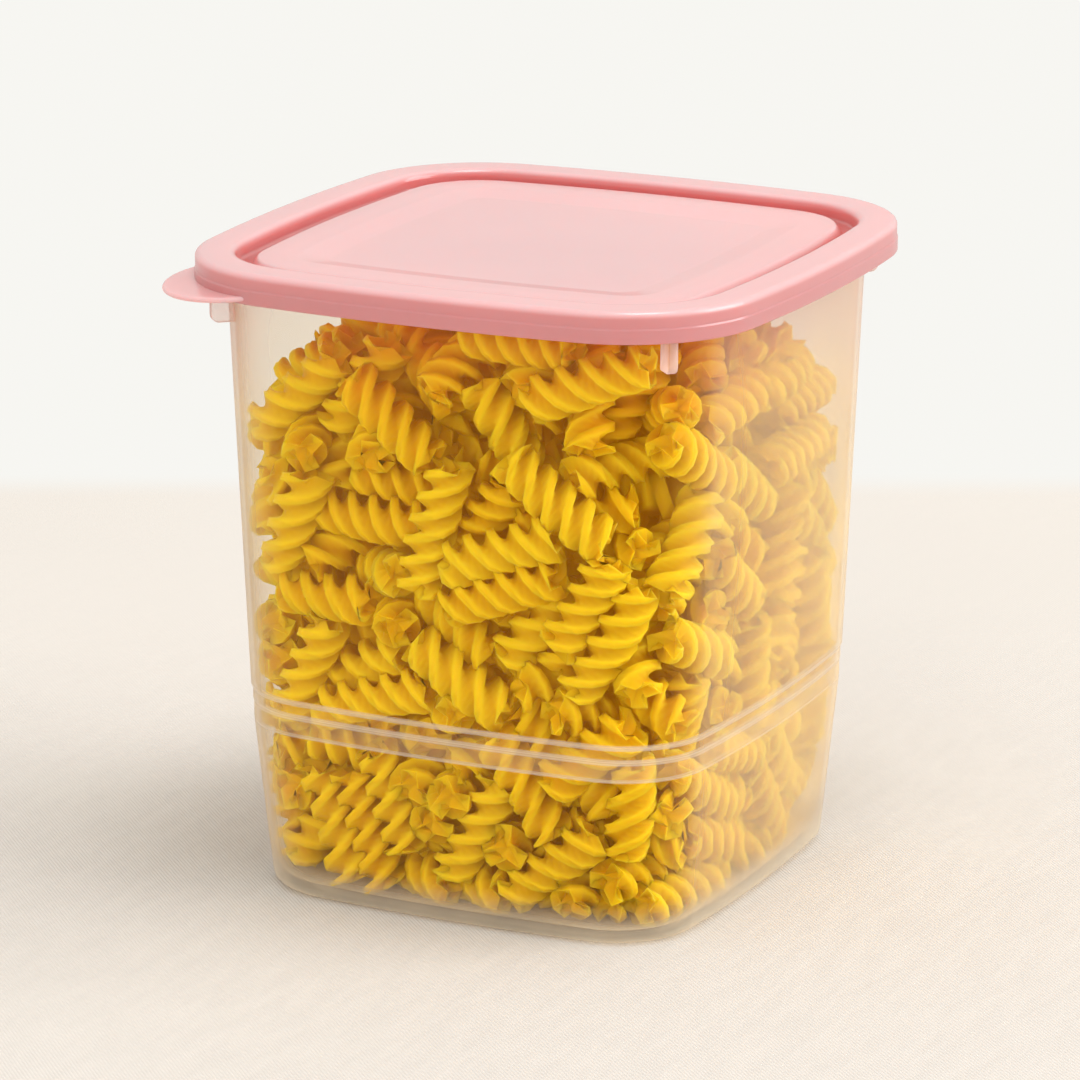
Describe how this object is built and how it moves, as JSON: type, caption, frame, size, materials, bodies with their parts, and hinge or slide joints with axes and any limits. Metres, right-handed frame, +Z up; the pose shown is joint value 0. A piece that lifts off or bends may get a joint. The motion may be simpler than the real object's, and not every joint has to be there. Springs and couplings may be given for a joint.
{
  "type": "food canister",
  "caption": "Square translucent food canister with tapered walls, a step band, corner ribs under its rim and a soft pull-off lid with a corner tab.",
  "frame": {"origin": "middle of the foot, on the table", "axes": "+Z up, through the middle of the lid; +X and +Y are square to the flat sides, and the lid's pull tab points to the -X -Y corner"},
  "size_m": [0.14, 0.14, 0.1501],
  "materials": {
    "container": "translucent milky polypropylene, smooth moulded",
    "lid": "soft pink polyethylene, satin moulded"
  },
  "bodies": {
    "container": {"container": "container"},
    "lid": {"lid": "lid"}
  },
  "joints": [
    {"name": "lid_lift", "type": "slide", "parent": "container", "child": "lid", "axis": [0, 0, 1], "range_m": [0, 0.09]}
  ]
}
